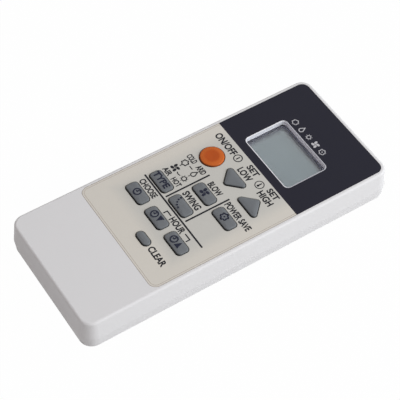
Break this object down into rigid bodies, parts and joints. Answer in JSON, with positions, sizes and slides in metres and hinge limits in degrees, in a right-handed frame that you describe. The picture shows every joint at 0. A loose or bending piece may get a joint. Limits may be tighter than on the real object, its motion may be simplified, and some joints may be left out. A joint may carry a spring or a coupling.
{
  "type": "air conditioner remote handset",
  "caption": "Slim white handheld remote lying on its back, with a two-tone face film, a recessed display, rubber keys and a sliding battery door.",
  "frame": {"origin": "middle of the footprint, on the surface that the handset lies on", "axes": "+X across the handset, +Y along it towards the display and the emitter, +Z out of the face"},
  "size_m": [0.06, 0.1416, 0.0158],
  "materials": {
    "white_plastic": "fine matt mould texture",
    "face_print": "satin printed sheet, dark at the display end",
    "clear_window": "clear polished plastic",
    "polariser": "grey-green satin film",
    "display_glass": "clear ground-edge glass",
    "gasket_foam": "black closed-cell foam",
    "holder_plastic": "plain moulded plastic",
    "contact_rubber": "striped conductive rubber",
    "mat_rubber": "matt silicone rubber",
    "key_rubber": "matt silicone rubber",
    "power_rubber": "matt silicone rubber",
    "carbon": "carbon-loaded rubber",
    "board": "solder-masked laminate",
    "resin": "black poured resin",
    "can_metal": "drawn metal can",
    "capacitor_sleeve": "shrunk sleeve over an aluminium can",
    "chip_body": "moulded package",
    "chip_parts": "ceramic bodies with tinned ends",
    "emitter_resin": "clear tinted resin",
    "tinned_wire": "tinned wire",
    "smoked_window": "dark red-black polished plastic",
    "cell_jacket": "printed jacket, bright ends",
    "contact_metal": "nickel-plated strip",
    "spring_metal": "nickel-plated wire",
    "screw_metal": "zinc-plated steel"
  },
  "bodies": {
    "case": {"front_case": "white_plastic", "back_case": "white_plastic", "face_film": "face_print", "display_window": "clear_window", "display_polarisers": "polariser", "display_gasket": "gasket_foam", "display_glass": "display_glass", "display_holder": "holder_plastic", "contact_strip": "contact_rubber", "keypad_mat": "mat_rubber", "circuit_board": "board", "controller_blob": "resin", "crystal": "can_metal", "reservoir_capacitor": "capacitor_sleeve", "emitter_transistor": "chip_body", "chip_components": "chip_parts", "ir_emitter": "emitter_resin", "emitter_leads": "tinned_wire", "ir_window": "smoked_window", "cells": "cell_jacket", "bridge_contact": "contact_metal", "plus_contact": "contact_metal", "minus_contact": "contact_metal", "contact_springs": "spring_metal", "board_screws": "screw_metal", "case_screws": "screw_metal", "power_web": "mat_rubber", "temperature_down_web": "mat_rubber", "temperature_up_web": "mat_rubber", "fan_web": "mat_rubber", "eco_web": "mat_rubber", "mode_web": "mat_rubber", "swing_web": "mat_rubber", "timer_set_web": "mat_rubber", "timer_down_web": "mat_rubber", "timer_up_web": "mat_rubber", "reset_web": "mat_rubber"},
    "power_key": {"power_key": "power_rubber", "power_pill": "carbon"},
    "temperature_down_key": {"temperature_down_key": "key_rubber", "temperature_down_pill": "carbon"},
    "temperature_up_key": {"temperature_up_key": "key_rubber", "temperature_up_pill": "carbon"},
    "fan_key": {"fan_key": "key_rubber", "fan_pill": "carbon"},
    "eco_key": {"eco_key": "key_rubber", "eco_pill": "carbon"},
    "mode_key": {"mode_key": "key_rubber", "mode_pill": "carbon"},
    "swing_key": {"swing_key": "key_rubber", "swing_pill": "carbon"},
    "timer_set_key": {"timer_set_key": "key_rubber", "timer_set_pill": "carbon"},
    "timer_down_key": {"timer_down_key": "key_rubber", "timer_down_pill": "carbon"},
    "timer_up_key": {"timer_up_key": "key_rubber", "timer_up_pill": "carbon"},
    "reset_key": {"reset_key": "key_rubber", "reset_pill": "carbon"},
    "door": {"battery_door": "white_plastic"}
  },
  "joints": [
    {"name": "power_press", "type": "slide", "parent": "case", "child": "power_key", "axis": [0, 0, -1], "range_m": [0, 0.0008], "stiffness_N_per_m": 150, "deforming": ["power_web"]},
    {"name": "temperature_down_press", "type": "slide", "parent": "case", "child": "temperature_down_key", "axis": [0, 0, -1], "range_m": [0, 0.0008], "stiffness_N_per_m": 150, "deforming": ["temperature_down_web"]},
    {"name": "temperature_up_press", "type": "slide", "parent": "case", "child": "temperature_up_key", "axis": [0, 0, -1], "range_m": [0, 0.0008], "stiffness_N_per_m": 150, "deforming": ["temperature_up_web"]},
    {"name": "fan_press", "type": "slide", "parent": "case", "child": "fan_key", "axis": [0, 0, -1], "range_m": [0, 0.0008], "stiffness_N_per_m": 150, "deforming": ["fan_web"]},
    {"name": "eco_press", "type": "slide", "parent": "case", "child": "eco_key", "axis": [0, 0, -1], "range_m": [0, 0.0008], "stiffness_N_per_m": 150, "deforming": ["eco_web"]},
    {"name": "mode_press", "type": "slide", "parent": "case", "child": "mode_key", "axis": [0, 0, -1], "range_m": [0, 0.0008], "stiffness_N_per_m": 150, "deforming": ["mode_web"]},
    {"name": "swing_press", "type": "slide", "parent": "case", "child": "swing_key", "axis": [0, 0, -1], "range_m": [0, 0.0008], "stiffness_N_per_m": 150, "deforming": ["swing_web"]},
    {"name": "timer_set_press", "type": "slide", "parent": "case", "child": "timer_set_key", "axis": [0, 0, -1], "range_m": [0, 0.0008], "stiffness_N_per_m": 150, "deforming": ["timer_set_web"]},
    {"name": "timer_down_press", "type": "slide", "parent": "case", "child": "timer_down_key", "axis": [0, 0, -1], "range_m": [0, 0.0008], "stiffness_N_per_m": 150, "deforming": ["timer_down_web"]},
    {"name": "timer_up_press", "type": "slide", "parent": "case", "child": "timer_up_key", "axis": [0, 0, -1], "range_m": [0, 0.0008], "stiffness_N_per_m": 150, "deforming": ["timer_up_web"]},
    {"name": "reset_press", "type": "slide", "parent": "case", "child": "reset_key", "axis": [0, 0, -1], "range_m": [0, 0.0008], "stiffness_N_per_m": 150, "deforming": ["reset_web"]},
    {"name": "battery_door_slide", "type": "slide", "parent": "case", "child": "door", "axis": [0, -1, 0], "range_m": [0, 0.036]}
  ]
}
